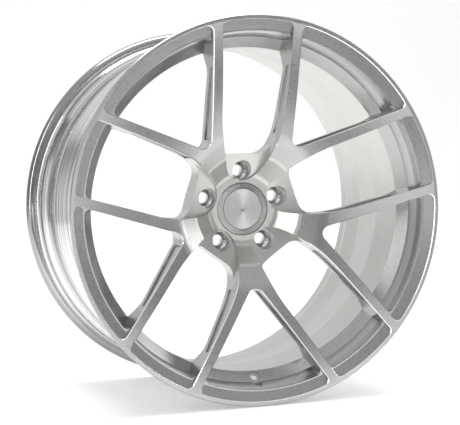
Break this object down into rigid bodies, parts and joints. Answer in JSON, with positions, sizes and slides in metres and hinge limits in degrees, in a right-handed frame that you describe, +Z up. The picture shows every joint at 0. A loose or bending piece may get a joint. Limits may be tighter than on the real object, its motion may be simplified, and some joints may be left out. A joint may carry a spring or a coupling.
{
  "type": "racing wheel rim",
  "caption": "Forged racing wheel rim with a deep concave face, paired V spokes and windows, a stepped lip, a drop-centre barrel, a lug pattern and a pull-off centre cap.",
  "frame": {"origin": "on the wheel's axle, at the middle of the rim's overall width", "axes": "+Y along the axle towards the vehicle, so the face looks along -Y; +Z up, through one lug; +X to the right when seen from the face side"},
  "size_m": [0.5474, 0.314, 0.5474],
  "materials": {
    "brushed_face": "satin brushed",
    "barrel_metal": "bright polished outside, satin inside",
    "weld_metal": "satin",
    "seat_steel": "bright turned",
    "cap_metal": "spun brushed",
    "cap_plastic": "moulded",
    "spring_wire": "drawn wire",
    "seal_rubber": "matt",
    "screw_steel": "plain"
  },
  "bodies": {
    "rim": {"face_forging": "brushed_face", "barrel": "barrel_metal", "seam_weld": "weld_metal", "lug_seat_1": "seat_steel", "lug_seat_2": "seat_steel", "lug_seat_3": "seat_steel", "lug_seat_4": "seat_steel", "lug_seat_5": "seat_steel"},
    "cap": {"cap_face": "cap_metal", "cap_carrier": "cap_plastic", "cap_spring_ring": "spring_wire", "cap_o_ring": "seal_rubber", "cap_screws": "screw_steel"}
  },
  "joints": [
    {"name": "cap_pull", "type": "slide", "parent": "rim", "child": "cap", "axis": [0, -1, 0], "range_m": [0, 0.035]}
  ]
}
